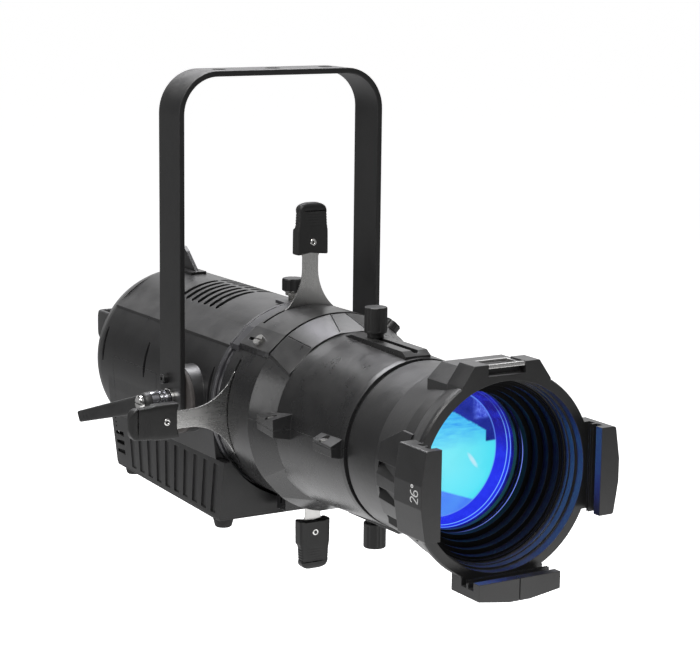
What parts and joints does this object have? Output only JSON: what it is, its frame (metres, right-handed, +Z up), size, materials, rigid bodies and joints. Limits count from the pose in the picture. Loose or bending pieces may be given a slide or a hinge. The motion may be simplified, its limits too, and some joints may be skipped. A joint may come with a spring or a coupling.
{
  "type": "ellipsoidal spotlight",
  "caption": "Black profile spotlight hung in a flat-bar yoke, with framing shutters, a rotating barrel, a sliding lens tube and a colour frame holder.",
  "frame": {"origin": "centre of the hanging hole, in the middle of the yoke bar's thickness; the tilt axis crosses the optical axis 286.8 mm below it", "axes": "+Z up towards the yoke's top bar, the beam leaves along -Y, the tilt axis is parallel to X and +X is on the right seen from in front of the lens looking at it along +Y"},
  "size_m": [0.356, 0.626, 0.4383],
  "materials": {
    "yoke_paint": "satin powder coat",
    "housing_paint": "satin powder coat on die-cast aluminium",
    "barrel_paint": "satin powder coat on die-cast aluminium",
    "ring_paint": "satin powder coat on aluminium, worn lighter on its rim",
    "base_paint": "satin powder coat on folded aluminium",
    "black_plastic": "fine moulded grain",
    "gloss_black": "glossy",
    "grey_plastic": "matt",
    "friction_liner": "fibre liner, matt",
    "stainless": "brushed",
    "bright_steel": "bright plated",
    "black_steel": "black oxide",
    "zinc": "dull zinc plate",
    "lens_glass": "clear, coated",
    "display_glass": "smoked",
    "heat_sink_alu": "extruded",
    "psu_case": "folded sheet",
    "circuit_board": "solder resist",
    "connector_plastic": "matt",
    "rubber": "matt",
    "inner_black": "matt anti-flare black",
    "tube_moulding": "glass-filled nylon, satin black"
  },
  "bodies": {
    "yoke": {"yoke_bar": "yoke_paint", "yoke_stop_screws": "black_steel", "pivot_bushes": "black_plastic"},
    "housing": {"main_housing": "housing_paint", "lower_housing": "housing_paint", "rear_cover": "housing_paint", "housing_screws": "black_steel", "rear_handle": "grey_plastic", "safety_loop": "black_steel", "housing_front_ring": "ring_paint", "friction_discs": "friction_liner", "base_shell": "base_paint", "base_plate": "base_paint", "base_feet": "rubber", "control_panel": "black_plastic", "display_window": "display_glass", "power_connectors": "connector_plastic", "data_connectors": "bright_steel", "power_supply": "psu_case", "heat_sink": "heat_sink_alu", "led_board": "circuit_board", "condenser_lens": "lens_glass", "fan_frame": "black_plastic"},
    "fan": {"fan_rotor": "black_plastic"},
    "tilt_lever": {"tilt_lever": "gloss_black", "tilt_lever_stud": "bright_steel"},
    "tilt_knob": {"tilt_knob": "black_plastic"},
    "rotation_lock": {"rotation_lock_knob": "black_plastic"},
    "barrel": {"gate_drum": "barrel_paint", "gate_cover": "barrel_paint", "aperture_plate": "stainless", "barrel_upper": "barrel_paint", "barrel_lower": "barrel_paint", "barrel_screws": "zinc"},
    "gate_knob": {"gate_knob": "black_plastic"},
    "lens_tube": {"lens_tube": "tube_moulding", "front_lens": "lens_glass", "rear_lens": "lens_glass", "lens_retaining_ring": "inner_black", "light_baffle": "inner_black", "colour_frame_holder": "tube_moulding"},
    "focus_knob_top": {"focus_knob_top": "black_plastic"},
    "focus_knob_bottom": {"focus_knob_bottom": "black_plastic"},
    "frame_latch": {"frame_latch": "stainless"},
    "menu_button_1": {"menu_button_1": "grey_plastic"},
    "menu_button_2": {"menu_button_2": "grey_plastic"},
    "menu_button_3": {"menu_button_3": "grey_plastic"},
    "menu_button_4": {"menu_button_4": "grey_plastic"},
    "shutter_top_guide": {"shutter_top_guide": "stainless"},
    "shutter_top": {"shutter_top_blade": "stainless", "shutter_top_grip": "black_plastic"},
    "shutter_left_guide": {"shutter_left_guide": "stainless"},
    "shutter_left": {"shutter_left_blade": "stainless", "shutter_left_grip": "black_plastic"},
    "shutter_right_guide": {"shutter_right_guide": "stainless"},
    "shutter_right": {"shutter_right_blade": "stainless", "shutter_right_grip": "black_plastic"},
    "shutter_bottom_guide": {"shutter_bottom_guide": "stainless"},
    "shutter_bottom": {"shutter_bottom_blade": "stainless", "shutter_bottom_grip": "black_plastic"}
  },
  "joints": [
    {"name": "tilt", "type": "hinge", "parent": "yoke", "child": "housing", "pos_m": [0, 0, -0.2868], "axis": [1, 0, 0], "range_deg": [-28, 100]},
    {"name": "tilt_lever_turn", "type": "hinge", "parent": "housing", "child": "tilt_lever", "pos_m": [0, 0, -0.2868], "axis": [1, 0, 0], "range_deg": [-60, 60]},
    {"name": "tilt_knob_turn", "type": "hinge", "parent": "housing", "child": "tilt_knob", "pos_m": [0, 0, -0.2868], "axis": [1, 0, 0], "range_deg": [-540, 0]},
    {"name": "rotation_lock_turn", "type": "hinge", "parent": "housing", "child": "rotation_lock", "pos_m": [0, -0.038, -0.2868], "axis": [0, 0, 1], "range_deg": [-540, 0]},
    {"name": "barrel_rotation", "type": "hinge", "parent": "housing", "child": "barrel", "pos_m": [0, 0, -0.2868], "axis": [0, 1, 0], "range_deg": [-20, 20]},
    {"name": "shutter_top_swivel", "type": "hinge", "parent": "barrel", "child": "shutter_top_guide", "pos_m": [0, -0.068, -0.2318], "axis": [0, 1, 0], "range_deg": [-13, 13]},
    {"name": "shutter_top_slide", "type": "slide", "parent": "shutter_top_guide", "child": "shutter_top", "axis": [0, 0, -1], "range_m": [0, 0.04]},
    {"name": "shutter_left_swivel", "type": "hinge", "parent": "barrel", "child": "shutter_left_guide", "pos_m": [-0.055, -0.072, -0.2868], "axis": [0, 1, 0], "range_deg": [-13, 13]},
    {"name": "shutter_left_slide", "type": "slide", "parent": "shutter_left_guide", "child": "shutter_left", "axis": [1, 0, 0], "range_m": [0, 0.04]},
    {"name": "shutter_right_swivel", "type": "hinge", "parent": "barrel", "child": "shutter_right_guide", "pos_m": [0.055, -0.08, -0.2868], "axis": [0, 1, 0], "range_deg": [-13, 13]},
    {"name": "shutter_right_slide", "type": "slide", "parent": "shutter_right_guide", "child": "shutter_right", "axis": [-1, 0, 0], "range_m": [0, 0.04]},
    {"name": "shutter_bottom_swivel", "type": "hinge", "parent": "barrel", "child": "shutter_bottom_guide", "pos_m": [0, -0.076, -0.3418], "axis": [0, 1, 0], "range_deg": [-13, 13]},
    {"name": "shutter_bottom_slide", "type": "slide", "parent": "shutter_bottom_guide", "child": "shutter_bottom", "axis": [0, 0, 1], "range_m": [-0.029, 0.006]},
    {"name": "gate_knob_turn", "type": "hinge", "parent": "barrel", "child": "gate_knob", "pos_m": [0.06195, -0.098, -0.22152], "axis": [0.6884, 0, 0.7254], "range_deg": [-540, 0]},
    {"name": "focus_slide", "type": "slide", "parent": "barrel", "child": "lens_tube", "axis": [0, -1, 0], "range_m": [-0.003, 0.055]},
    {"name": "focus_knob_top_turn", "type": "hinge", "parent": "lens_tube", "child": "focus_knob_top", "pos_m": [0, -0.177, -0.1968], "axis": [0, 0, 1], "range_deg": [-540, 0]},
    {"name": "focus_knob_bottom_turn", "type": "hinge", "parent": "lens_tube", "child": "focus_knob_bottom", "pos_m": [0, -0.18, -0.3768], "axis": [0, 0, -1], "range_deg": [-540, 0]},
    {"name": "frame_latch_turn", "type": "hinge", "parent": "lens_tube", "child": "frame_latch", "pos_m": [0, -0.363, -0.1999], "axis": [1, 0, 0], "range_deg": [0, 175]},
    {"name": "menu_button_1_press", "type": "slide", "parent": "housing", "child": "menu_button_1", "axis": [0, -1, 0], "range_m": [0, 0.001], "stiffness_N_per_m": 600},
    {"name": "menu_button_2_press", "type": "slide", "parent": "housing", "child": "menu_button_2", "axis": [0, -1, 0], "range_m": [0, 0.001], "stiffness_N_per_m": 600},
    {"name": "menu_button_3_press", "type": "slide", "parent": "housing", "child": "menu_button_3", "axis": [0, -1, 0], "range_m": [0, 0.001], "stiffness_N_per_m": 600},
    {"name": "menu_button_4_press", "type": "slide", "parent": "housing", "child": "menu_button_4", "axis": [0, -1, 0], "range_m": [0, 0.001], "stiffness_N_per_m": 600},
    {"name": "fan_spin", "type": "hinge", "parent": "housing", "child": "fan", "pos_m": [0, 0.165, -0.2868], "axis": [0, 1, 0], "continuous": true}
  ]
}
